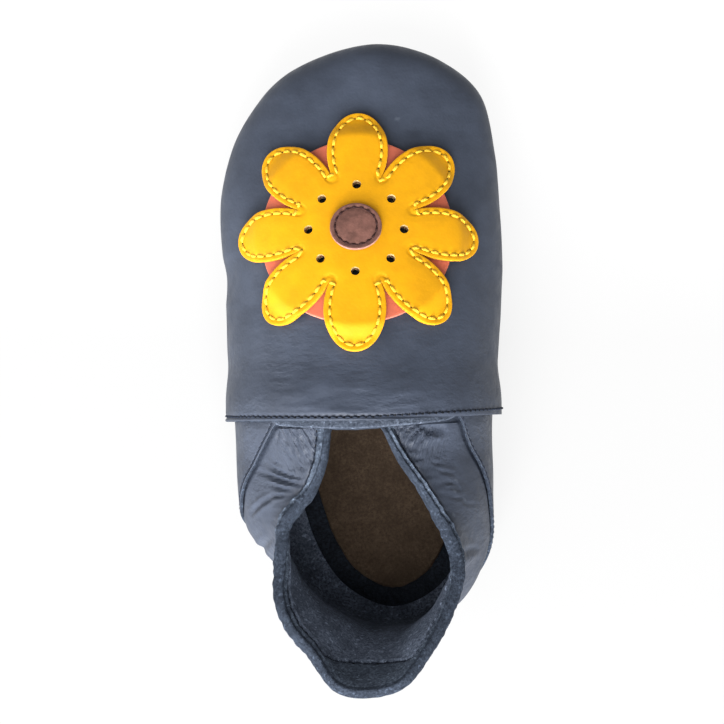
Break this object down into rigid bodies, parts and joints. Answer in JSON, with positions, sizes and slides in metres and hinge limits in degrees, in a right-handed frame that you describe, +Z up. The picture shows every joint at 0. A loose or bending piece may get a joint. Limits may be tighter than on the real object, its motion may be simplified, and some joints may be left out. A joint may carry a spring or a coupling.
{
  "type": "soft-sole baby shoe",
  "caption": "Soft leather baby shoe with a turned-up suede sole, lapped vamp, elasticated collar, heel tab and a layered flower on the vamp.",
  "frame": {"origin": "on the floor, at the flat underside of the sole, under the middle of its length", "axes": "+Y towards the toe, +X towards the big toe's side, +Z up"},
  "size_m": [0.0609, 0.139, 0.0536],
  "materials": {
    "navy_leather": "semi-matte smooth leather",
    "sole_suede": "dark suede",
    "insole_suede": "brown suede",
    "coral_leather": "semi-matte smooth leather",
    "yellow_leather": "semi-matte smooth leather",
    "brown_leather": "semi-matte smooth leather"
  },
  "bodies": {
    "root": {"sole": "sole_suede", "insole": "insole_suede", "upper": "navy_leather", "vamp": "navy_leather", "side_panel_lateral": "navy_leather", "side_panel_medial": "navy_leather", "applique_disc": "coral_leather", "applique_flower": "yellow_leather", "applique_centre": "brown_leather"}
  },
  "joints": []
}
